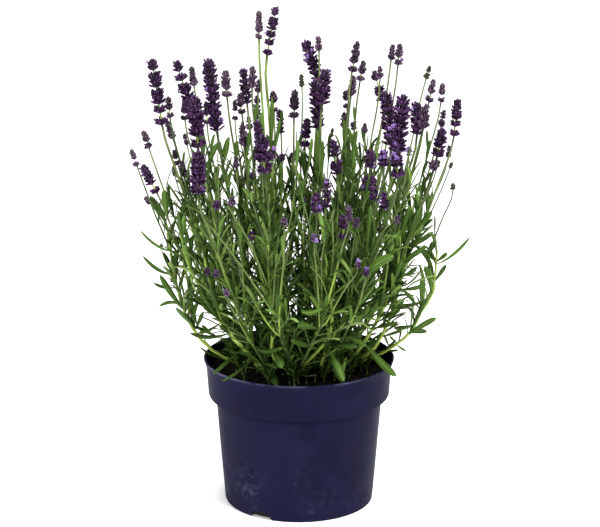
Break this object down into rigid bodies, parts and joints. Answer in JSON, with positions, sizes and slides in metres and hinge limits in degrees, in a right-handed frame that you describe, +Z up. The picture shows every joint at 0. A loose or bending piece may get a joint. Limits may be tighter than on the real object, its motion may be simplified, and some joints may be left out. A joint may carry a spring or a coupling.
{
  "type": "potted lavender",
  "caption": "Bushy lavender with narrow leaves and whorled purple flower heads on long bare stalks, standing in soil in a tapered plastic nursery pot with a wide collar.",
  "frame": {"origin": "centre of the flat underside of the pot, on the surface the pot stands on", "axes": "+Z up along the pot's axis, -Y towards the viewer of the picture, +X to that viewer's right"},
  "size_m": [0.2984, 0.2213, 0.4424],
  "materials": {
    "pot_plastic": "dark indigo blue injection-moulded plastic with a soft sheen and lime dust low down",
    "potting_soil": null,
    "foliage": null,
    "bloom_violet": null,
    "bud_mauve": null,
    "bud_dusk": null
  },
  "bodies": {
    "root": {"pot": "pot_plastic", "soil": "potting_soil", "branch_left": "foliage", "branch_front_left": "foliage", "branch_front": "foliage", "branch_front_right": "foliage", "branch_right": "foliage", "branch_back_right": "foliage", "branch_back": "foliage", "branch_back_left": "foliage", "branch_inner_left": "foliage", "branch_inner_right": "foliage", "flower_head_001": "bloom_violet", "flower_head_002": "bloom_violet", "flower_head_003": "bloom_violet", "flower_head_004": "bloom_violet", "flower_head_005": "bud_mauve", "flower_head_007": "bud_dusk", "flower_head_008": "bud_mauve", "flower_head_011": "bloom_violet", "flower_head_016": "bloom_violet", "flower_head_017": "bud_mauve", "flower_head_018": "bud_dusk", "flower_head_019": "bloom_violet", "flower_head_020": "bud_mauve", "flower_head_022": "bud_mauve", "flower_head_024": "bloom_violet", "flower_head_026": "bud_mauve", "flower_head_027": "bloom_violet", "flower_head_028": "bloom_violet", "flower_head_030": "bud_mauve", "flower_head_031": "bloom_violet", "flower_head_032": "bud_mauve", "flower_head_033": "bloom_violet", "flower_head_034": "bloom_violet", "flower_head_036": "bloom_violet", "flower_head_037": "bloom_violet", "flower_head_038": "bloom_violet", "flower_head_040": "bud_dusk", "flower_head_041": "bud_dusk", "flower_head_042": "bud_mauve", "flower_head_043": "bud_mauve", "flower_head_045": "bud_mauve", "flower_head_050": "bloom_violet", "flower_head_052": "bud_mauve", "flower_head_053": "bloom_violet", "flower_head_054": "bloom_violet", "flower_head_055": "bloom_violet", "flower_head_056": "bud_mauve", "flower_head_058": "bud_mauve", "flower_head_061": "bloom_violet", "flower_head_062": "bloom_violet", "flower_head_068": "bloom_violet", "flower_head_069": "bloom_violet", "flower_head_070": "bloom_violet", "flower_head_071": "bloom_violet", "flower_head_073": "bloom_violet", "flower_head_075": "bloom_violet", "flower_head_076": "bloom_violet", "flower_head_078": "bloom_violet"}
  },
  "joints": []
}
